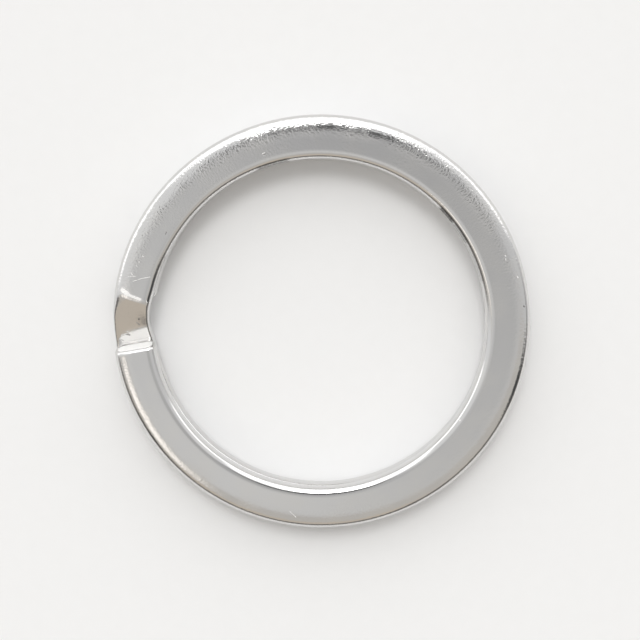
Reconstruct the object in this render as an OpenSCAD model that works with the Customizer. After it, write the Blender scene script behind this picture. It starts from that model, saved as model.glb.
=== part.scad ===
// Flat split key ring. One length of flat wire with rounded edges is wound in two turns that lie
// one on the other. A pressed step carries the wire from the upper turn down to the lower one, and
// each cut end stops at the step: the upper end at its foot, the lower end under its top bend.
// The ring lies flat on XY around the Z axis, and the lower turn rests at z = 0.

/* [Ring] */
// Outside diameter of the ring
ring_od = 30; // [24:1:60]
// Gap between the two turns
turn_gap = 0.05; // [0.04:0.01:0.1]

/* [Wire] */
// Width of the flat wire, measured across the ring
wire_w = 3; // [2.4:0.05:5]
// Thickness of the flat wire
wire_t = 1.4; // [1.3:0.05:2]
// Radius of the wire's edges on the eye side
eye_edge_r = 0.5; // [0.3:0.01:0.62]
// Radius of the wire's edges on the outside
rim_edge_r = 0.62; // [0.3:0.01:0.62]

/* [Step] */
// Direction from the ring's centre to the start of the step, in degrees
step_at = 169.8; // [0:0.1:359]
// Length of the step along the middle of the wire
step_run = 4; // [3.2:0.1:6]
// Radius of the step's two bends
bend_r = 1.3; // [0.8:0.1:1.6]
// Length by which the eye side goes into the top bend later than the outside
bend_skew = 0.4; // [0:0.05:0.6]
// Radius of the wire's edges on the slope, where they are pressed tighter
pressed_edge_r = 0.25; // [0.25:0.01:0.6]

/* [Neck at the step] */
// Depth of the gentle draw-in on the eye side, on both sides of the step
neck_depth = 0.12; // [0:0.01:0.4]
// Length of wire over which it forms, ahead of the step
neck_lead = 6; // [4:0.1:8]
// Length of wire past the step over which it runs out
neck_tail = 3.5; // [2:0.1:8]
// Depth to which the eye side of the slope is pinched in further
pinch_depth = 0.27; // [0:0.01:0.6]
// Depth to which the outside of the slope is pinched in
rim_pinch = 0.04; // [0:0.01:0.2]

/* [Cut ends] */
// Least gap between the lower end and the bend that it reaches under
end_clearance = 0.015; // [0.01:0.005:0.03]
// Length by which the upper end laps over the foot of the step
end_lap = 0.4; // [0:0.05:0.4]
// Length by which a cut face leans over its height
end_lean = 0.4; // [0:0.05:0.8]
// Length by which the upper end is cut shorter on the outside than on the eye side
end_skew = 0.25; // [0:0.05:0.5]
// Radius of the rounding around a cut face
end_round_r = 0.2; // [0.1:0.02:0.25]

/* [Hidden] */

$fn = 64;
edge_steps = 5;                 // facets around one swept edge
neck_stations = 12;             // stations along the neck on one side of the step
bend_stations = 5;              // stations along one bend of the step
slope_stations = 12;            // stations along the slope
round_stations = 4;             // stations around the rounding of a cut face
root_depth = 0.2;               // how far a swept run reaches into a plain turn
root_inset = 0.005;             // how far its faces lie inside that turn's faces

rim_r = ring_od / 2;
eye_r = rim_r - wire_w;
mid_r = (rim_r + eye_r) / 2;
upper_z = wire_t + turn_gap;
lower_z = 0;

// The straight slope runs along the common tangent of the two bends
bend_rise = 2 * bend_r - upper_z;
slope_angle = asin(2 * bend_r / norm([step_run, bend_rise])) - atan2(bend_rise, step_run);
bend_run = bend_r * sin(slope_angle);

// Places along the wire are lengths from the start of the step
upper_end = step_run - end_lap;
lower_end = sqrt(bend_r ^ 2 - (bend_r - turn_gap + end_clearance) ^ 2);
neck_start = -neck_lead;
neck_end = step_run + neck_tail;
pinch_start = -0.9;             // where the slope's pinch begins to form
pinch_full = 2;                 // where it is at its deepest
pinch_out = step_run + 1.2;     // where it has run out
pressed_run = 2;                // length over which the slope's edges get tighter
edge_return = 0.6;              // length past the step over which they open again

// Direction from the ring's centre to a place along the wire
function heading(s) = step_at + s / mid_r * 180 / PI;

// Smooth change from 0 to 1
function ease(u) = let (c = min(max(u, 0), 1)) c * c * (3 - 2 * c);

// How far the wire has come down at a place along the step: bend, slope, bend
function bend_drop(s) = bend_r - sqrt(bend_r ^ 2 - s ^ 2);
function drop(s) =
    s <= 0 ? 0 :
    s < bend_run ? bend_drop(s) :
    s < step_run - bend_run ? bend_drop(bend_run) + (s - bend_run) * tan(slope_angle) :
    s < step_run ? upper_z - bend_drop(step_run - s) :
    upper_z;

// Share of the skew that is left at a place: all of it in the top bend, none at the foot
function skew_left(s) = 1 - ease((s - bend_run) / (step_run - 2 * bend_run));

// Share of the gentle draw-in, of the slope's pinch and of its tighter edges at a place
function neck(s) = ease((s - neck_start) / neck_lead) - ease((s - step_run) / neck_tail);
function pinch(s) =
    ease((s - pinch_start) / (pinch_full - pinch_start)) -
    ease((s - pinch_full) / (pinch_out - pinch_full));
function pressed(s) = ease(s / pressed_run) - ease((s - step_run) / edge_return);

// Points around a quarter circle, from a given direction
function quarter(x, z, r, from) =
    [for (i = [0:edge_steps]) let (a = from + 90 * i / edge_steps) [x + r * cos(a), z + r * sin(a)]];

// Outline of the wire's section at a place, its underside at height z and its faces drawn in by inset;
// the slope's pinch and tighter edges come in by the share stepped
function outline(s, z, inset, stepped) =
    let (tight = stepped * pressed(s))
    let (pinched = stepped * pinch(s))
    let (eye_edge = eye_edge_r + (pressed_edge_r - eye_edge_r) * tight)
    let (rim_edge = rim_edge_r + (pressed_edge_r - rim_edge_r) * tight)
    let (eye_x = eye_r + neck_depth * neck(s) + pinch_depth * pinched + eye_edge)
    let (rim_x = rim_r - rim_pinch * pinched - rim_edge)
    concat(
        quarter(rim_x, z + rim_edge, rim_edge - inset, -90),
        quarter(rim_x, z + wire_t - rim_edge, rim_edge - inset, 0),
        quarter(eye_x, z + wire_t - eye_edge, eye_edge - inset, 90),
        quarter(eye_x, z + eye_edge, eye_edge - inset, 180)
    );

// One station of a cut end: the outline stood up at its place, leaned and skewed along the wire
function end_station(s, z, inset = root_inset, lean = 0, skew = 0) =
    let (a = heading(s))
    [for (p = outline(s, z, inset, 0))
        let (along = lean * (p[1] - z) / wire_t + skew * (p[0] - eye_r) / wire_w)
        [p[0] * cos(a) - along * sin(a), p[0] * sin(a) + along * cos(a), p[1]]];

// One station of the step: each point of the outline as far down as its own side of the bend is
function step_station(s) =
    let (a = heading(s))
    [for (p = outline(s, upper_z, root_inset, 1))
        let (late = bend_skew * skew_left(s) * (rim_r - p[0]) / wire_w)
        [p[0] * cos(a), p[0] * sin(a), p[1] - drop(s - late)]];

// Evenly spaced places, without the last one
function spread(from, to, count) = [for (i = [0:count - 1]) from + (to - from) * i / count];

// Solid through a row of stations, given in the direction of growing angle
module loft(stations) {
    sides = len(stations[0]);
    last = len(stations) - 1;
    walls = [for (i = [0:last - 1], j = [0:sides - 1])
        let (a = i * sides + j)
        let (b = i * sides + (j + 1) % sides)
        each [[a, b, a + sides], [b, b + sides, a + sides]]];
    first_cap = [for (j = [sides - 1:-1:0]) j];
    last_cap = [for (j = [0:sides - 1]) last * sides + j];
    polyhedron([for (loop = stations) each loop], concat([first_cap], walls, [last_cap]));
}

// Section of the plain wire, its underside at z = 0
module wire_section() {
    eye_x = eye_r + eye_edge_r;
    rim_x = rim_r - rim_edge_r;
    translate([eye_x, 0]) square([rim_x - eye_x, wire_t]);
    translate([eye_r, eye_edge_r]) square([eye_edge_r, wire_t - 2 * eye_edge_r]);
    translate([rim_x, rim_edge_r]) square([rim_edge_r, wire_t - 2 * rim_edge_r]);
    for (z = [eye_edge_r, wire_t - eye_edge_r]) translate([eye_x, z]) circle(eye_edge_r);
    for (z = [rim_edge_r, wire_t - rim_edge_r]) translate([rim_x, z]) circle(rim_edge_r);
}

// Plain part of one turn, from where the neck has run out round to where it begins
module plain_turn(z) {
    from = heading(neck_end);
    to = heading(neck_start) + 360;
    translate([0, 0, z]) rotate([0, 0, from]) rotate_extrude(angle = to - from) wire_section();
}

// The step, with the necked wire on both sides of it
module step() {
    places = concat(
        [neck_start - root_depth],
        spread(neck_start, 0, neck_stations),
        spread(0, bend_run, bend_stations),
        spread(bend_run, step_run - bend_run, slope_stations),
        spread(step_run - bend_run, step_run, bend_stations),
        spread(step_run, neck_end, neck_stations),
        [neck_end, neck_end + root_depth]
    );
    loft([for (s = places) step_station(s)]);
}

// Stations of a cut end, from its root in the plain turn out to its cut face at place s
function cut_end(root, s, z, skew) =
    let (out = sign(s - root))
    let (shoulder = s - out * end_round_r)
    concat(
        [end_station(root - out * root_depth, z)],
        [for (i = [0:neck_stations])
            let (u = i / neck_stations)
            end_station(root + (shoulder - root) * u, z, root_inset, end_lean * ease(u), skew * ease(u))],
        [for (i = [1:round_stations])
            let (turn = 90 * i / round_stations)
            let (inset = end_round_r * (1 - cos(turn)))
            let (place = shoulder + out * end_round_r * sin(turn))
            end_station(place, z, inset + root_inset, end_lean, skew)]
    );

// Free end of the upper turn, whose face leans back from the foot of the step
module upper_cut_end() {
    stations = cut_end(neck_end, upper_end, upper_z, end_skew);
    loft([for (i = [len(stations) - 1:-1:0]) stations[i]]);
}

// Free end of the lower turn, whose face leans out under the top bend of the step
module lower_cut_end() {
    loft(cut_end(neck_start, lower_end - end_lean, lower_z, 0));
}

module split_ring() {
    color("silver") {
        plain_turn(upper_z);
        plain_turn(lower_z);
        step();
        upper_cut_end();
        lower_cut_end();
    }
}

split_ring();
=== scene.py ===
"""Flat split key ring of bright nickel-plated wire, lying on a pale sheet in soft studio light.

The wire is one swept surface: a rounded flat section is carried along two turns that lie one on
the other, down the pressed step between them, and over both cut ends. Lengths are in millimetres
until they are put into the mesh.
"""
import math

import bpy
import numpy as np
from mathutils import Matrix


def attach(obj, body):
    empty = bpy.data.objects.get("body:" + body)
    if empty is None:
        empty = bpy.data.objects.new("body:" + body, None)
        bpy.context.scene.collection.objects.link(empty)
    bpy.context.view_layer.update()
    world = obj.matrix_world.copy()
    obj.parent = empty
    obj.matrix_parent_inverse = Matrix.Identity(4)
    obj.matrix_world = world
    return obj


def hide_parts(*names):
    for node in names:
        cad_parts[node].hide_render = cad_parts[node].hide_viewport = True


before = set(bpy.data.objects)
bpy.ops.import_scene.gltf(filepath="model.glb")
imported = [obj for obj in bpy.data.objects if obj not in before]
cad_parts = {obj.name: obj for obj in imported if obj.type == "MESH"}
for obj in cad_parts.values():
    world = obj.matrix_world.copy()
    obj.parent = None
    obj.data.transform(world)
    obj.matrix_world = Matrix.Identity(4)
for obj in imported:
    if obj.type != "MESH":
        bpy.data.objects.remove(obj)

MM = 0.001

# ---------------------------------------------------------------- sizes, as in the part's source
RING_OD = 30.0
TURN_GAP = 0.05
WIRE_W = 3.0
WIRE_T = 1.4
EYE_EDGE_R = 0.5
RIM_EDGE_R = 0.62
STEP_AT = 169.8
STEP_RUN = 4.0
BEND_R = 1.3
BEND_SKEW = 0.4
PRESSED_EDGE_R = 0.25
NECK_DEPTH = 0.12
NECK_LEAD = 6.0
NECK_TAIL = 3.5
PINCH_DEPTH = 0.27
RIM_PINCH = 0.04
PINCH_START = -0.9
PINCH_FULL = 2.0
PINCH_OUT = STEP_RUN + 1.2
PRESSED_RUN = 2.0
EDGE_RETURN = 0.6
END_CLEARANCE = 0.015
END_LAP = 0.4
END_LEAN = 0.4
END_SKEW = 0.25
END_ROUND_R = 0.2

RIM_R = RING_OD / 2
EYE_R = RIM_R - WIRE_W
MID_R = (RIM_R + EYE_R) / 2
UPPER_Z = WIRE_T + TURN_GAP
TOP_Z = UPPER_Z + WIRE_T
TURN_LENGTH = 2 * math.pi * MID_R
BEND_RISE = 2 * BEND_R - UPPER_Z
SLOPE = math.asin(2 * BEND_R / math.hypot(STEP_RUN, BEND_RISE)) - math.atan2(BEND_RISE, STEP_RUN)
BEND_RUN = BEND_R * math.sin(SLOPE)
UPPER_END = STEP_RUN - END_LAP
LOWER_END = math.sqrt(BEND_R ** 2 - (BEND_R - TURN_GAP + END_CLEARANCE) ** 2)

# ---------------------------------------------------------------- the wire's finer shape
CROWN_START = 13.82         # radius at which the flat face begins to fall off to the outside
CROWN_END = 14.46           # radius at which the crown runs into the outer edge
CROWN_TILT = 9.0            # how far the face has tilted by then, in degrees
STATION_STEP = 0.26         # spacing of the stations on the plain turns
FINE_STEP = 0.07            # spacing of the stations at the step and the cut ends
FINE_PAST_END = 9.0         # place on the first turn where the fine stations from the cut end stop
FINE_AHEAD = 6.0            # how far ahead of the step they begin again
FINE_PAST_STEP = 3.0        # how far past the step they stop
FINE_AT_LAST = 2.0          # how far before the second turn's end they begin for the last time
EYE_SHOULDER = 0.72         # distance from the eye side at which the flat face begins
EYE_TILT = 10.0             # how far the face has tilted where the eye side's arc begins, in degrees
EYE_SHIFT = 0.085           # how much further in the upper turn's eye side lies
EYE_SHIFT_EAST = 0.12       # how much further still it lies towards +X, and less far towards -X
RIM_INSET = 0.006           # how far the outer side lies inside the construction's faceted one
CAP_INSET = 0.35            # distance of a cut face's middle line from the wire's two sides
CAP_RINGS = 9               # rings from the edge of a cut face to its middle line
ROUND_RINGS = 5             # stations around the rounding of a cut face
ARC_POINTS = 15             # points along an edge's arc
FACE_POINTS = 8             # points across the level face, and across each face that tilts
SIDE_KEPT = 0.6             # distance from each side within which a draw-in is whole, or gone
TINY = 1e-9                 # least length that a direction is worked out from

# ---------------------------------------------------------------- wear, in millimetres seen from above
# each mark runs from one place to another, in X and Y, with its half width
BRIGHT_MARKS = [
    # the long bent scratch ahead of the step, and a short one beside it
    (-13.35, 3.3, -12.75, 3.5, 0.03),
    (-12.75, 3.5, -12.15, 3.6, 0.03),
    (-13.7, 3.65, -13.15, 3.65, 0.025),
    # nicks in a row further back on the left
    (-12.65, 5.1, -12.6, 5.05, 0.05),
    (-12.9, 4.7, -12.9, 4.65, 0.035),
    (-13.1, 4.4, -13.05, 4.35, 0.035),
    (-13.5, 3.9, -13.4, 3.75, 0.03),
    # a nick at the eye side, at the start of the slope
    (-12.45, 1.9, -12.4, 1.75, 0.04),
    # the lip of the nick near the top
    (-4.15, 12.25, -3.95, 12.35, 0.04),
    # nicks on the right
    (13.0, 5.15, 13.05, 5.05, 0.05),
    (13.05, 4.9, 13.05, 4.8, 0.04),
    (13.9, 3.65, 13.95, 3.55, 0.05),
    (10.0, -6.85, 10.05, -6.75, 0.05),
    # a scratch at the bottom
    (-2.3, -13.6, -1.85, -14.05, 0.03),
]
DARK_MARKS = [
    # pits on the slope
    (-13.1, 0.55, -13.1, 0.45, 0.06),
    (-13.2, 0.15, -13.1, 0.05, 0.05),
    (-13.3, 0.25, -13.25, 0.2, 0.03),
    (-14.15, -0.7, -13.85, -0.75, 0.06),
    (-14.55, -1.15, -14.35, -1.2, 0.06),
    # the nick near the top, and pits elsewhere
    (-4.05, 12.15, -3.9, 12.25, 0.04),
    (-10.95, 6.8, -10.95, 6.65, 0.06),
    (14.4, 1.55, 14.45, 1.45, 0.06),
    (5.4, 13.6, 5.4, 13.65, 0.03),
]
# the press mark over the step's top bend, paled as a painted highlight on the bend's crest
PRESS_HIGHLIGHT_MARKS = [
    (-14.1, 2.65, -13.8, 2.4, 0.3),
    (-13.9, 2.4, -12.9, 2.0, 0.17),
]
MARKS_ABOVE = (1.46, 1.52)  # heights over which the marks come in, so that only upper faces have them
MARK_CORE = 0.25            # share of a mark's half width that has its full strength

# painted shade on the eye side of the upper turn, where the gap above the lower turn lies in shade: from
# and to which direction in degrees, and how dark
GAP_SHADE_BANDS = [
    (16.0, 30.0, 0.25), (30.0, 38.5, 0.5), (38.5, 45.5, 0.85),
    (101.0, 112.0, 0.6),
    (155.0, 168.0, 0.3),
]
GAP_SHADE_SOFT = 1.0          # degrees over which a stretch of it fades out
GAP_SHADE_REACH = (12.3, 12.15)         # distances from the centre over which it comes in
GAP_SHADE_HEIGHT = (2.44, 2.77, 0.03)   # from and to which height, and over how much it fades

# ---------------------------------------------------------------- the plating
# noise scales are per metre, heights in metres, colours and shares without a unit
CRUMB_SCALE = 14000.0       # noise that breaks up the wear marks
LINE_SCALE = 16000.0        # hairlines
LINE_STRETCH = (0.02, 1.0, 1.0)
LINE_LEVELS = (0.66, 0.74)
SMUDGE_SCALE = 420.0        # soft smudges
TUMBLE_SCALE = 7200.0       # tumbled unevenness, drawn out across the wire
TUMBLE_STRETCH = (1.0, 0.75, 1.0)
TUMBLE_HEIGHT = (0.000004, 0.000011)
TUMBLE_REACH = (13.3, 13.9, 0.6, 2.6)         # two distances from the centre and its strength at each
TUMBLE_NORTH = (-0.003, 0.009, 0.45, 1.0)     # two places in Y, in metres, and its strength at each
STRIATION_SCALE = 14000.0   # striations of the cut faces
STRIATION_STRETCH = (0.12, 1.0, 1.0)
STRIATION_HEIGHT = 0.00006
PIT_HEIGHT = -0.000008
CUT_SCUFF = 0.8             # how rough and pale a cut face is, as a share of a scratch
SMUDGE_ROUGH = (0.08, 0.13)
LINE_ROUGH = 0.06
SCUFF_ROUGH = 0.5
SCUFF_METALLIC = 0.15
NICKEL_COOL = (0.715, 0.71, 0.707, 1.0)
NICKEL_WARM = (0.735, 0.727, 0.716, 1.0)
# pale tint of the scratches, nicks and cut faces, and of the press mark's painted highlight
SCUFF_AND_HIGHLIGHT_TINT = (0.97, 0.96, 0.94, 1.0)
SOIL_AND_SHADE_COLOR = (0.035, 0.032, 0.03, 1.0)
PIT_SOIL = 0.85             # how much of a pit is soil

# ---------------------------------------------------------------- the sheet
SHEET_GRAIN_SCALE = 900.0
SHEET_DARK = (0.85, 0.85, 0.847, 1.0)
SHEET_PALE = (0.87, 0.87, 0.868, 1.0)

# ---------------------------------------------------------------- the studio
# a band is from, to and the half width of its soft edges; a change is from and to only. Azimuths are in
# degrees from +X towards +Y, and zenith angles in degrees
FULL_TURN = 360.0
DEGREES = 180 / math.pi
OVERHEAD_GREY = 0.51
OVERHEAD_CHANGE = (4.0, 14.0)         # zenith angles over which the sides come in
EAST_GREY = 0.68
LIT_GREY = 0.85
LIT_AZIMUTH = (18.0, 250.0, 12.0)
SOUTH_AZIMUTH = (198.0, 342.0, 12.0)
SOUTH_SPAN = 120.0                    # zenith angle at the end of the southern gradient
SOUTH_STOPS = [
    (0, (0.51, 0.51, 0.51, 1)), (9, (0.64, 0.638, 0.632, 1)), (17, (0.75, 0.745, 0.735, 1)),
    (20, (0.69, 0.68, 0.665, 1)), (25, (0.59, 0.57, 0.54, 1)), (40, (0.6, 0.575, 0.535, 1)),
    (52, (0.6, 0.565, 0.515, 1)), (58, (0.56, 0.52, 0.47, 1)), (62, (0.2, 0.19, 0.18, 1)),
    (76, (0.2, 0.19, 0.18, 1)), (84, (0.5, 0.48, 0.45, 1)), (90, (0.5, 0.48, 0.45, 1)),
]
NEAREST_AHEAD = 0.0001                # least Y that the wall's slopes are divided by
WALL_GREY = 1.6
WALL_WIDE = (-1.15, 0.85, 0.12)       # band in X over Y
WALL_RISE = (0.02, 2.5, 0.2)          # band in Z over Y
WALL_AHEAD = (0.0, 0.02)              # change in Y
LOW_WALL_AZIMUTH = (20.0, 175.0, 4.0)
LOW_WALL_ZENITH = (60.0, 88.0, 5.0)
LAMP_GREY = 10.2
LAMP_WIDE = (-0.4, 0.16, 0.15)        # band in X over Y
LAMP_ZENITH = (46.0, 32.0)
DIM_SHARE = 0.17
DIM_EAST = (-0.06, 0.13)              # change in X
DIM_ZENITH = (24.0, 15.0)
BAR_GREY = 0.12
BAR_AZIMUTH = (36.0, 136.0, 6.0)
BAR_ZENITH = (2.4, 15.5, 2.0)
BAR_SHIFT = (15.0, 75.0, 4.0, 0.0)    # two azimuths, and how much further out the bar lies at each
FOOT_COLOR = (0.19, 0.18, 0.17, 1.0)
FOOT_TURN = 270.0                     # added to azimuths, so that the foot doesn't cross 0
FOOT_START = (104.0, 116.0)
FOOT_FADE = (240.0, 292.0)
FOOT_ZENITH = (60.0, 78.0, 3.0)
DEEP_GREY = 0.08
DEEP_PATCHES = [                      # bands in azimuth and in zenith angle
    ((216.0, 226.0, 3.0), (56.0, 74.0, 4.0)),
    ((282.0, 293.0, 3.0), (56.0, 74.0, 4.0)),
    ((325.0, 342.0, 3.0), (40.0, 78.0, 4.0)),
]
STREAK_COLOR = (1.42, 1.35, 1.27, 1.0)
STREAK_AZIMUTH = (207.0, 240.0, 5.0)
STREAK_ZENITH = (25.0, 36.0, 3.0)
CARD_COLOR = (0.62, 0.555, 0.475, 1.0)
CARD_AZIMUTH = (234.0, 292.0, 4.0)
CARD_ZENITH = (40.0, 64.0, 1.5)


def ease(u):
    """Smooth change from 0 to 1: three times u squared less twice u cubed, held outside 0 to 1."""
    c = np.clip(u, 0.0, 1.0)
    return c * c * (3.0 - 2.0 * c)


def step_drop(s):
    """How far the wire has come down at length s from the start of the step: an arc of the bend's
    radius, the straight slope on the arcs' common tangent, and the same arc turned over."""
    arc = lambda q: BEND_R - np.sqrt(np.maximum(BEND_R ** 2 - q ** 2, 0.0))
    slope = arc(BEND_RUN) + (s - BEND_RUN) * math.tan(SLOPE)
    foot = UPPER_Z - arc(np.clip(STEP_RUN - s, 0.0, BEND_RUN))
    return np.select(
        [s <= 0.0, s < BEND_RUN, s < STEP_RUN - BEND_RUN, s < STEP_RUN],
        [0.0 * s, arc(np.clip(s, 0.0, BEND_RUN)), slope, foot],
        UPPER_Z,
    )


def skew_left(s):
    """Share of the bend's skew left at length s: all of it in the top bend, none at the foot."""
    return 1.0 - ease((s - BEND_RUN) / (STEP_RUN - 2 * BEND_RUN))


def neck_share(s):
    """Share of the gentle draw-in at length s: it eases in over the lead and out over the tail."""
    return ease((s + NECK_LEAD) / NECK_LEAD) - ease((s - STEP_RUN) / NECK_TAIL)


def pinch_share(s):
    """Share of the slope's own pinch at length s: in over the top bend, out at the foot."""
    rise = ease((s - PINCH_START) / (PINCH_FULL - PINCH_START))
    return rise - ease((s - PINCH_FULL) / (PINCH_OUT - PINCH_FULL))


def pressed_share(s):
    """Share of the tighter edges at length s: full on the slope, gone a little past its foot."""
    return ease(s / PRESSED_RUN) - ease((s - STEP_RUN) / EDGE_RETURN)


def shoulder(level, tilted, tilt):
    """A face that is level at one place across the wire and has tilted at the other: places across,
    and how far it has fallen there, which is the running sum of the tilt's tangent."""
    x = np.linspace(level, tilted, FACE_POINTS)
    slope = np.tan(tilt * ease((x - level) / (tilted - level)))
    fall = np.cumsum((slope[1:] + slope[:-1]) / 2 * np.abs(np.diff(x)))
    return x, np.concatenate([[0.0], fall])


def half_section(pressed=0.0):
    """Upper half of the wire's outline from the middle of its eye side to the middle of its outer
    side, as rows of distance from the eye side and height over the middle of the wire.

    The outline is the integral of its own tilt: along the line, the tilt goes from upright through
    the eye side's arc and shoulder to level, stays level over the face, leans gently over the
    crown, and goes round the outer arc to upright again. The pressed share makes both arcs
    tighter."""
    opened = (RIM_EDGE_R - PRESSED_EDGE_R) * pressed
    eye_edge = EYE_EDGE_R + (PRESSED_EDGE_R - EYE_EDGE_R) * pressed
    eye_tilt = math.radians(EYE_TILT) * (1 - pressed)
    rim_tilt = math.radians(CROWN_TILT) * (1 - pressed)

    eye_x, eye_fall = shoulder(EYE_SHOULDER, eye_edge * (1 - math.sin(eye_tilt)), eye_tilt)
    turn = np.linspace(math.pi / 2, eye_tilt, ARC_POINTS)
    middle = WIRE_T / 2 - eye_fall[-1] - eye_edge * math.cos(eye_tilt)
    eye = np.stack([eye_edge * (1 - np.sin(turn)), middle + eye_edge * np.cos(turn)], 1)
    eye_rise = np.stack([eye_x, WIRE_T / 2 - eye_fall], 1)[-2::-1]

    rim_x, rim_fall = shoulder(CROWN_START - EYE_R + opened, CROWN_END - EYE_R + opened, rim_tilt)
    face_x = np.linspace(EYE_SHOULDER, rim_x[0], FACE_POINTS)[1:-1]
    face = np.stack([face_x, np.full_like(face_x, WIRE_T / 2)], 1)
    crown = np.stack([rim_x, WIRE_T / 2 - rim_fall], 1)
    arc_r = (WIRE_W - rim_x[-1]) / (1 - math.sin(rim_tilt))
    turn = np.linspace(rim_tilt, math.pi / 2, ARC_POINTS)[1:]
    rim = np.stack([
        rim_x[-1] + arc_r * (np.sin(turn) - math.sin(rim_tilt)),
        crown[-1, 1] - arc_r * (math.cos(rim_tilt) - np.cos(turn)),
    ], 1)
    return np.concatenate([[[0.0, 0.0]], eye, eye_rise, face, crown, rim, [[WIRE_W, 0.0]]])


def full_section(pressed=0.0):
    """The whole outline: the upper half from the eye side outwards, then the same points below the
    middle on the way back."""
    upper = half_section(pressed)
    lower = upper[-2:0:-1] * [1.0, -1.0]
    return np.concatenate([upper, lower])


def stations():
    """Lengths along the wire, counted from the start of the step on the first turn: from the upper
    cut end, twice round, to the lower cut end, closer together near the step."""
    first = UPPER_END + END_ROUND_R
    last = 2 * TURN_LENGTH + LOWER_END - END_LEAN - END_ROUND_R
    fine = lambda a, b: np.linspace(a, b, max(2, int(round((b - a) / FINE_STEP)) + 1))
    coarse = lambda a, b: np.linspace(a, b, int(round((b - a) / STATION_STEP)) + 1)
    return np.unique(np.round(np.concatenate([
        fine(first, FINE_PAST_END),
        coarse(FINE_PAST_END, TURN_LENGTH - FINE_AHEAD),
        fine(TURN_LENGTH - FINE_AHEAD, TURN_LENGTH + STEP_RUN + FINE_PAST_STEP),
        coarse(TURN_LENGTH + STEP_RUN + FINE_PAST_STEP, 2 * TURN_LENGTH - FINE_AT_LAST),
        fine(2 * TURN_LENGTH - FINE_AT_LAST, last),
    ]), 6))


def wire_surface():
    """The whole wire as rings of points.

    A ring is the outline stood up at its length along the wire: the angle is that length over the
    middle radius, the radius is the eye side plus the distance across, and the height is that of
    the turn or the step. On the slope the outline blends into its pressed form, and the eye side
    and the outer side are drawn in where the neck and the pinch say. Near a cut end the outline
    shrinks along a quarter circle, the face leans and skews along the wire, and its rings close on
    the middle line of the face."""
    plain, pressed_form = full_section(), full_section(1.0)
    half = len(half_section())
    # distance along the upper half, by which a cut face's rings close on its middle line
    run = np.concatenate([[0.0], np.cumsum(np.hypot(*np.diff(half_section(), axis=0).T))])
    share = np.concatenate([run / run[-1], (run / run[-1])[-2:0:-1]])
    middle = CAP_INSET + (WIRE_W - 2 * CAP_INSET) * share

    places = stations()
    turn = np.radians(90.0 * np.arange(1, ROUND_RINGS + 1) / ROUND_RINGS)
    inset = END_ROUND_R * (1 - np.cos(turn))
    reach = END_ROUND_R * np.sin(turn)
    close = np.arange(1, CAP_RINGS + 1) / CAP_RINGS

    length = np.concatenate([
        np.full(CAP_RINGS, places[0] - END_ROUND_R), (places[0] - reach)[::-1], places,
        places[-1] + reach, np.full(CAP_RINGS, places[-1] + END_ROUND_R)])
    shrink = np.concatenate([
        np.full(CAP_RINGS, END_ROUND_R), inset[::-1], np.zeros_like(places),
        inset, np.full(CAP_RINGS, END_ROUND_R)])
    closed = np.concatenate([
        close[::-1], np.zeros(ROUND_RINGS), np.zeros_like(places), np.zeros(ROUND_RINGS), close])

    # length counted from the nearer start of the step, and from the step between the turns
    near = np.mod(length + TURN_LENGTH / 2, TURN_LENGTH) - TURN_LENGTH / 2
    step_s = length - TURN_LENGTH
    heading = np.radians(STEP_AT) + length / MID_R

    # the pinch and the tighter edges belong to the slope and leave out both cut ends
    between = (length > TURN_LENGTH / 2) & (length < 1.5 * TURN_LENGTH)
    pressed = (pressed_share(near) * between)[:, None]
    across = plain[:, 0] + (pressed_form[:, 0] - plain[:, 0]) * pressed
    up = plain[:, 1] + (pressed_form[:, 1] - plain[:, 1]) * pressed

    # the outline shrinks towards the middle line near the cut ends, and closes on it over the face
    core = np.clip(across, WIRE_T / 2, WIRE_W - WIRE_T / 2)
    away = np.stack([across - core, up])
    away = away / np.maximum(np.hypot(*away), TINY)
    x = across - shrink[:, None] * away[0]
    z = up - shrink[:, None] * away[1]
    x = x + (middle - x) * closed[:, None]
    z = z * (1 - closed[:, None])

    upper_share = 1 - ease(step_s / STEP_RUN)
    outer = ease((x - SIDE_KEPT) / (WIRE_W - 2 * SIDE_KEPT))
    pinched = pinch_share(near) * between
    # the upper cut end keeps its full width on the eye side
    drawn = NECK_DEPTH * neck_share(near) * (length > TURN_LENGTH / 2) + PINCH_DEPTH * pinched
    drawn = drawn - upper_share * (EYE_SHIFT + EYE_SHIFT_EAST * np.cos(heading))
    radius = EYE_R + x + drawn[:, None] * (1 - outer) - (RIM_INSET + RIM_PINCH * pinched)[:, None] * outer

    late = BEND_SKEW * skew_left(step_s)[:, None] * (1 - x / WIRE_W)
    base = np.where(step_s[:, None] > 0, UPPER_Z - step_drop(step_s[:, None] - late), UPPER_Z)
    height = base + WIRE_T / 2 + z

    # the cut faces lean: the upper end's top lies back from the step, the lower end's out over it
    near_a = ease(1 - (length - UPPER_END) / NECK_TAIL) * (length < TURN_LENGTH / 2)
    near_b = ease((length - (2 * TURN_LENGTH - NECK_LEAD)) / NECK_LEAD) * (length > 1.5 * TURN_LENGTH)
    along = END_LEAN * (near_a + near_b)[:, None] * (z + WIRE_T / 2) / WIRE_T
    along = along + END_SKEW * near_a[:, None] * x / WIRE_W
    ux, uy = np.cos(heading)[:, None], np.sin(heading)[:, None]
    points = np.stack([radius * ux - along * uy, radius * uy + along * ux, height], -1)

    # the lower half of each closing ring shares the upper half's points
    rows, cols = points.shape[:2]
    index = np.arange(rows * cols).reshape(rows, cols)
    mirror = np.concatenate([np.arange(half), np.arange(half - 2, 0, -1)])
    index[0] = index[0][mirror]
    index[-1] = index[-1][mirror]
    a, b = index[:-1], index[1:]
    faces = np.stack([a, np.roll(a, -1, axis=1), np.roll(b, -1, axis=1), b], -1).reshape(-1, 4)
    around = np.concatenate([[0.0], np.cumsum(np.hypot(*np.diff(plain, axis=0).T))])
    fields = np.broadcast_arrays(length[:, None], around[None, :], (closed > 0)[:, None] * 1.0)
    return points.reshape(-1, 3), faces, [field.ravel() for field in fields]


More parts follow.
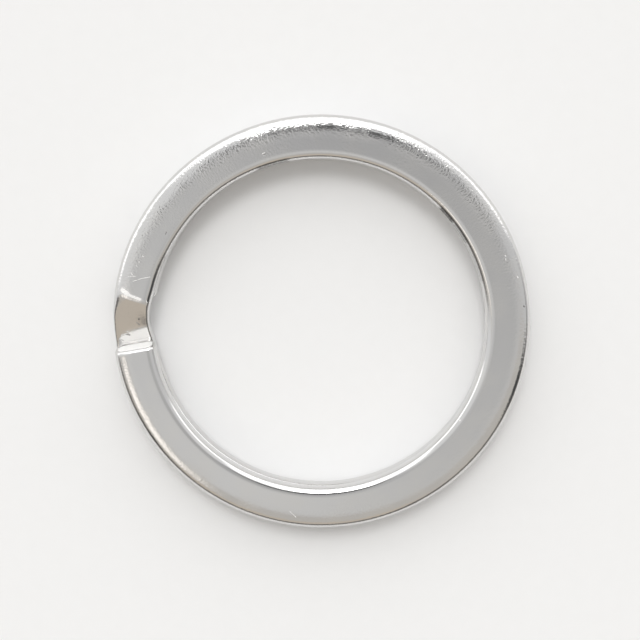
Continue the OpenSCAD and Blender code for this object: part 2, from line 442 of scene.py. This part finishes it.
def mesh_object(name, points, faces):
    """A mesh with its place in its points, in metres, made of the four-cornered faces as given;
    points that no face uses are left out."""
    used, renumbered = np.unique(faces, return_inverse=True)
    mesh = bpy.data.meshes.new(name)
    mesh.from_pydata(points[used] * MM, [], renumbered.reshape(faces.shape))
    mesh.validate()
    mesh.shade_smooth()
    thing = bpy.data.objects.new(name, mesh)
    bpy.context.scene.collection.objects.link(thing)
    return thing, used


# ---------------------------------------------------------------- materials

class Nodes:
    """Short hand for building a node tree: each call adds one node and gives back its output."""

    def __init__(self, tree):
        self.tree = tree
        tree.nodes.clear()

    def add(self, kind, inputs=(), out=0, **settings):
        node = self.tree.nodes.new(kind)
        for key, value in settings.items():
            setattr(node, key, value)
        for key, value in (inputs.items() if isinstance(inputs, dict) else enumerate(inputs)):
            if value is None:
                continue
            if isinstance(value, bpy.types.NodeSocket):
                self.tree.links.new(value, node.inputs[key])
            else:
                node.inputs[key].default_value = value
        return node.outputs[out] if len(node.outputs) else node

    def math(self, operation, *inputs):
        return self.add("ShaderNodeMath", inputs, operation=operation)

    def ramp(self, value, low, high, out_low=0.0, out_high=1.0):
        """Smooth change from out_low to out_high as value goes from low to high."""
        inputs = (value, low, high, out_low, out_high)
        return self.add("ShaderNodeMapRange", inputs, interpolation_type="SMOOTHSTEP")

    def window(self, value, low, high, soft):
        """1 between low and high, 0 outside, with soft shoulders."""
        rise = self.ramp(value, low - soft, low + soft)
        fall = self.ramp(value, high - soft, high + soft, 1.0, 0.0)
        return self.math("MULTIPLY", rise, fall)

    def scaled(self, vector, factors):
        """The vector with each of its parts times its own factor."""
        return self.add("ShaderNodeVectorMath", (vector, factors), operation="MULTIPLY")

    def parts(self, vector):
        """The vector's X, Y and Z."""
        node = self.tree.nodes.new("ShaderNodeSeparateXYZ")
        self.tree.links.new(vector, node.inputs[0])
        return node.outputs

    def largest(self, values):
        """The largest of the values, and at least 0."""
        result = 0.0
        for value in values:
            result = self.math("MAXIMUM", result, value)
        return result

    def mix(self, share, first, second):
        node = self.tree.nodes.new("ShaderNodeMix")
        node.data_type = "RGBA"
        for key, value in ((0, share), (6, first), (7, second)):
            if isinstance(value, bpy.types.NodeSocket):
                self.tree.links.new(value, node.inputs[key])
            else:
                node.inputs[key].default_value = value
        return node.outputs[2]


def grey(v):
    return (v, v, v, 1.0)


def mark_share(n, seen_from_above, mark):
    """1 along a straight mark, 0 away from it: the nearest place on the line between its two ends
    is the first end plus a clamped share of the way to the second, and the mark fades with the
    distance from there."""
    x0, y0, x1, y1, half_width = (value * MM for value in mark)
    way = (x1 - x0, y1 - y0, 0.0)
    squared = way[0] ** 2 + way[1] ** 2
    per_length = tuple(w / squared for w in way)
    dot = n.add("ShaderNodeVectorMath", (seen_from_above, per_length), 1, operation="DOT_PRODUCT")
    start = (x0 * way[0] + y0 * way[1]) / squared
    share = n.add("ShaderNodeMath", (dot, -start), operation="ADD", use_clamp=True)
    nearest = n.add("ShaderNodeVectorMath", (way, share, (x0, y0, 0.0)), operation="MULTIPLY_ADD")
    away = n.add("ShaderNodeVectorMath", (seen_from_above, nearest), 1, operation="DISTANCE")
    return n.ramp(away, MARK_CORE * half_width, half_width, 1.0, 0.0)


def nickel():
    """Bright nickel plate on tumbled steel: low roughness that varies in soft smudges, a fine
    tumbled unevenness drawn out across the wire, hairlines along it, and the wear: pale rough
    scratches and nicks, dark pits and the striated cut faces. The press mark at the bend is paled
    as a painted highlight, and near-black painted shade lies on the eye side."""
    material = bpy.data.materials.new("bright_nickel")
    material.use_nodes = True
    n = Nodes(material.node_tree)
    place = n.add("ShaderNodeTexCoord", out=3)
    along_around = n.add("ShaderNodeUVMap", uv_map="wire")
    cut = n.add("ShaderNodeAttribute", out=2, attribute_name="cut_face")
    above = n.scaled(place, (1.0, 1.0, 0.0))
    reach = n.add("ShaderNodeVectorMath", (above,), 1, operation="LENGTH")
    x, y, height = n.parts(place)

    # wear marks, and the press mark's painted highlight, broken up by a fine noise
    top = n.ramp(height, MARKS_ABOVE[0] * MM, MARKS_ABOVE[1] * MM)
    crumbs = n.add("ShaderNodeTexNoise", {"Vector": place, "Scale": CRUMB_SCALE, "Detail": 2.0})
    broken = n.math("MULTIPLY", top, n.ramp(crumbs, 0.36, 0.52))
    bright = n.math("MULTIPLY", n.largest(mark_share(n, above, mark) for mark in BRIGHT_MARKS), broken)
    dark = n.math("MULTIPLY", n.largest(mark_share(n, above, mark) for mark in DARK_MARKS), broken)
    barely_broken = n.math("MULTIPLY", top, n.ramp(crumbs, 0.3, 0.6, 0.55, 1.0))
    press_highlight = n.math("MULTIPLY", n.largest(mark_share(n, above, mark) for mark in PRESS_HIGHLIGHT_MARKS), barely_broken)
    scuff_and_highlight = n.largest((bright, press_highlight, n.math("MULTIPLY", cut, CUT_SCUFF)))

    # the painted shade lies on the eye side, where the upper edge turns upright
    turned = n.math("MULTIPLY", n.math("ARCTAN2", y, x), DEGREES)
    near_eye = n.ramp(reach, GAP_SHADE_REACH[0] * MM, GAP_SHADE_REACH[1] * MM)
    inside = n.math("MULTIPLY", near_eye, n.window(height, *(h * MM for h in GAP_SHADE_HEIGHT)))
    gap_shade = n.largest(
        n.math("MULTIPLY", n.window(turned, start, end, GAP_SHADE_SOFT), darkness)
        for start, end, darkness in GAP_SHADE_BANDS)
    gap_shade = n.math("MULTIPLY", gap_shade, inside)
    gap_shade = n.math("MULTIPLY", gap_shade, n.ramp(crumbs, 0.3, 0.55, 0.45, 1.0))

    # hairlines run along the wire; they are thin, faint and few
    drawn_out = n.scaled(along_around, LINE_STRETCH)
    lines = n.add("ShaderNodeTexNoise", {"Vector": drawn_out, "Scale": LINE_SCALE, "Detail": 1.0})
    hairline = n.ramp(lines, *LINE_LEVELS)

    smudge = n.add("ShaderNodeTexNoise", {"Vector": place, "Scale": SMUDGE_SCALE, "Detail": 3.0})
    rough = n.math("ADD", n.ramp(smudge, 0.3, 0.7, *SMUDGE_ROUGH), n.math("MULTIPLY", hairline, LINE_ROUGH))
    rough = n.math("MAXIMUM", rough, n.math("MULTIPLY", scuff_and_highlight, SCUFF_ROUGH))
    tint = n.mix(n.ramp(smudge, 0.35, 0.65), NICKEL_COOL, NICKEL_WARM)
    # scratches, nicks and cut faces are paler, and the press mark is paled as a painted highlight
    tint = n.mix(scuff_and_highlight, tint, SCUFF_AND_HIGHLIGHT_TINT)

    # height of the surface: the tumbled unevenness, stronger in places, the striations and the pits
    across_long = n.scaled(along_around, TUMBLE_STRETCH)
    tumbled = n.add("ShaderNodeTexNoise", {"Vector": across_long, "Scale": TUMBLE_SCALE, "Detail": 2.0})
    tumbled = n.math("MULTIPLY", tumbled, n.ramp(smudge, 0.3, 0.7, *TUMBLE_HEIGHT))
    inner, outer, inner_share, outer_share = TUMBLE_REACH
    tumbled = n.math("MULTIPLY", tumbled, n.ramp(reach, inner * MM, outer * MM, inner_share, outer_share))
    tumbled = n.math("MULTIPLY", tumbled, n.ramp(y, *TUMBLE_NORTH))
    striated = n.scaled(place, STRIATION_STRETCH)
    striations = n.add("ShaderNodeTexNoise", {"Vector": striated, "Scale": STRIATION_SCALE, "Detail": 2.0})
    striations = n.math("MULTIPLY", n.math("MULTIPLY", striations, cut), STRIATION_HEIGHT)
    pits = n.math("MULTIPLY", dark, PIT_HEIGHT)
    relief = n.math("ADD", n.math("ADD", tumbled, striations), pits)
    bump = n.add("ShaderNodeBump", {"Strength": 1.0, "Distance": 1.0, "Height": relief})
    shader = n.add("ShaderNodeBsdfPrincipled", {
        "Base Color": tint, "Metallic": n.ramp(scuff_and_highlight, 0.0, 1.0, 1.0, SCUFF_METALLIC),
        "Roughness": rough, "Normal": bump})
    # the near-black colour is the soil in the pits, and also the painted shade on the eye side
    soil_and_shade = n.add("ShaderNodeBsdfDiffuse", {"Color": SOIL_AND_SHADE_COLOR})
    soil_and_shade_share = n.math("MAXIMUM", gap_shade, n.math("MULTIPLY", dark, PIT_SOIL))
    soiled_and_shaded = n.add("ShaderNodeMixShader", (soil_and_shade_share, shader, soil_and_shade))
    n.add("ShaderNodeOutputMaterial", {"Surface": soiled_and_shaded})
    return material


def paper():
    """The pale sheet: matt, with a barely visible grain."""
    material = bpy.data.materials.new("pale_sheet")
    material.use_nodes = True
    n = Nodes(material.node_tree)
    place = n.add("ShaderNodeTexCoord", out=3)
    grain = n.add("ShaderNodeTexNoise", {"Vector": place, "Scale": SHEET_GRAIN_SCALE, "Detail": 4.0})
    tone = n.mix(grain, SHEET_DARK, SHEET_PALE)
    shader = n.add("ShaderNodeBsdfDiffuse", {"Color": tone})
    n.add("ShaderNodeOutputMaterial", {"Surface": shader})
    return material


def studio_sky():
    """The soft studio as the ring sees it: zenith angle and azimuth of each direction choose how
    bright it is. The sides are mid grey, lighter in the north and west and a little warm to the
    south. To the north stands a white wall with a lamp on it, and a dark bar hangs beside the
    zenith. The studio has a dark foot, and a warm streak and a warm card to the south."""
    world = bpy.data.worlds.new("studio")
    bpy.context.scene.world = world
    world.use_nodes = True
    n = Nodes(world.node_tree)
    toward = n.add("ShaderNodeTexCoord", out=0)
    x, y, z = n.parts(toward)
    zenith = n.math("MULTIPLY", n.math("ARCCOSINE", z), DEGREES)
    azimuth = n.math("MULTIPLY", n.math("ARCTAN2", y, x), DEGREES)
    azimuth = n.math("MODULO", n.math("ADD", azimuth, FULL_TURN), FULL_TURN)

    # south: grey overhead, lightest at the third stop, warm and darker towards the horizon
    ramp = n.tree.nodes.new("ShaderNodeValToRGB")
    n.tree.links.new(n.math("DIVIDE", zenith, SOUTH_SPAN), ramp.inputs[0])
    elements = ramp.color_ramp.elements
    while len(elements) < len(SOUTH_STOPS):
        elements.new(0.5)
    for element, (angle, color) in zip(elements, SOUTH_STOPS):
        element.position = angle / SOUTH_SPAN
        element.color = color
    south = ramp.outputs[0]

    side = n.mix(n.window(azimuth, *LIT_AZIMUTH), grey(EAST_GREY), grey(LIT_GREY))
    sky = n.mix(n.ramp(zenith, *OVERHEAD_CHANGE), grey(OVERHEAD_GREY), side)
    overhead = n.ramp(zenith, *reversed(OVERHEAD_CHANGE))
    sky = n.mix(n.math("MAXIMUM", n.window(azimuth, *SOUTH_AZIMUTH), overhead), sky, south)

    # the white wall to the north, a flat panel: its top edge is level, so it is lowest at its sides
    ahead = n.math("MAXIMUM", y, NEAREST_AHEAD)
    rise = n.math("DIVIDE", z, ahead)
    wide = n.math("DIVIDE", x, ahead)
    wall = n.math("MULTIPLY", n.window(wide, *WALL_WIDE), n.window(rise, *WALL_RISE))
    wall = n.math("MULTIPLY", wall, n.ramp(y, *WALL_AHEAD))
    low_wall = n.math("MULTIPLY", n.window(azimuth, *LOW_WALL_AZIMUTH), n.window(zenith, *LOW_WALL_ZENITH))
    lamp = n.math("MULTIPLY", n.window(wide, *LAMP_WIDE), n.ramp(zenith, *LAMP_ZENITH))
    glow = n.mix(lamp, grey(WALL_GREY), grey(LAMP_GREY))
    sky = n.mix(n.math("MAXIMUM", wall, low_wall), sky, glow)

    # a little darker overhead towards the east
    east = n.math("MULTIPLY", n.ramp(x, *DIM_EAST), n.ramp(zenith, *DIM_ZENITH))
    sky = n.mix(n.math("MULTIPLY", east, DIM_SHARE), sky, grey(0.0))

    # a dark bar beside the zenith, which lies further from it towards the east
    bar = n.math("SUBTRACT", zenith, n.ramp(azimuth, *BAR_SHIFT))
    patch = n.math("MULTIPLY", n.window(azimuth, *BAR_AZIMUTH), n.window(bar, *BAR_ZENITH))
    sky = n.mix(patch, sky, grey(BAR_GREY))

    # the studio's dark foot, low down from the south-west round past the east, where it fades out
    turned = n.math("MODULO", n.math("ADD", azimuth, FOOT_TURN), FULL_TURN)
    span = n.math("MULTIPLY", n.ramp(turned, *FOOT_START), n.ramp(turned, *FOOT_FADE, 1.0, 0.0))
    sky = n.mix(n.math("MULTIPLY", span, n.window(zenith, *FOOT_ZENITH)), sky, FOOT_COLOR)
    for azimuths, zeniths in DEEP_PATCHES:
        deep = n.math("MULTIPLY", n.window(azimuth, *azimuths), n.window(zenith, *zeniths))
        sky = n.mix(deep, sky, grey(DEEP_GREY))

    # a warm streak to the south-west
    streak = n.math("MULTIPLY", n.window(azimuth, *STREAK_AZIMUTH), n.window(zenith, *STREAK_ZENITH))
    sky = n.mix(streak, sky, STREAK_COLOR)

    # a warm card to the south, which the pressed slope mirrors
    card = n.math("MULTIPLY", n.window(azimuth, *CARD_AZIMUTH), n.window(zenith, *CARD_ZENITH))
    sky = n.mix(card, sky, CARD_COLOR)

    background = n.add("ShaderNodeBackground", {"Color": sky, "Strength": 1.0})
    n.add("ShaderNodeOutputWorld", {"Surface": background})


# ---------------------------------------------------------------- the scene

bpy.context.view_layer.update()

points, faces, (along, around, cut) = wire_surface()
wire, used = mesh_object("wire_ring", points, faces)
uv = wire.data.uv_layers.new(name="wire")
corner = np.empty(len(wire.data.loops), np.int32)
wire.data.loops.foreach_get("vertex_index", corner)
pairs = np.stack([along[used][corner], around[used][corner]], 1) * MM
uv.data.foreach_set("uv", pairs.astype(np.float32).ravel())
mask = wire.data.attributes.new("cut_face", "FLOAT", "POINT")
mask.data.foreach_set("value", cut[used].astype(np.float32))
wire.data.materials.append(nickel())
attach(wire, "root")
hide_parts("split_ring")

FLOOR_HALF = 8.0
FLOOR_Z = -0.00001
floor_mesh = bpy.data.meshes.new("sheet")
floor_mesh.from_pydata(
    [(-FLOOR_HALF, -FLOOR_HALF, FLOOR_Z), (FLOOR_HALF, -FLOOR_HALF, FLOOR_Z),
     (FLOOR_HALF, FLOOR_HALF, FLOOR_Z), (-FLOOR_HALF, FLOOR_HALF, FLOOR_Z)], [], [(0, 1, 2, 3)])
floor = bpy.data.objects.new("sheet", floor_mesh)
bpy.context.scene.collection.objects.link(floor)
floor.data.materials.append(paper())

studio_sky()

CAMERA_DISTANCE = 0.0887
CAMERA_TILT = math.radians(8.6)
CAMERA_AIM = (-0.000095, 0.00052, TOP_Z * MM)
camera_data = bpy.data.cameras.new("camera")
camera_data.lens = 70.0
camera_data.sensor_width = 36.0
camera_data.clip_start = 0.001
camera_data.clip_end = 100.0
camera = bpy.data.objects.new("camera", camera_data)
bpy.context.scene.collection.objects.link(camera)
camera.location = (CAMERA_AIM[0], CAMERA_AIM[1] + CAMERA_DISTANCE * math.sin(CAMERA_TILT),
                   CAMERA_AIM[2] + CAMERA_DISTANCE * math.cos(CAMERA_TILT))
camera.rotation_euler = (-CAMERA_TILT, 0.0, 0.0)
bpy.context.scene.camera = camera
bpy.context.scene.view_settings.view_transform = "Standard"
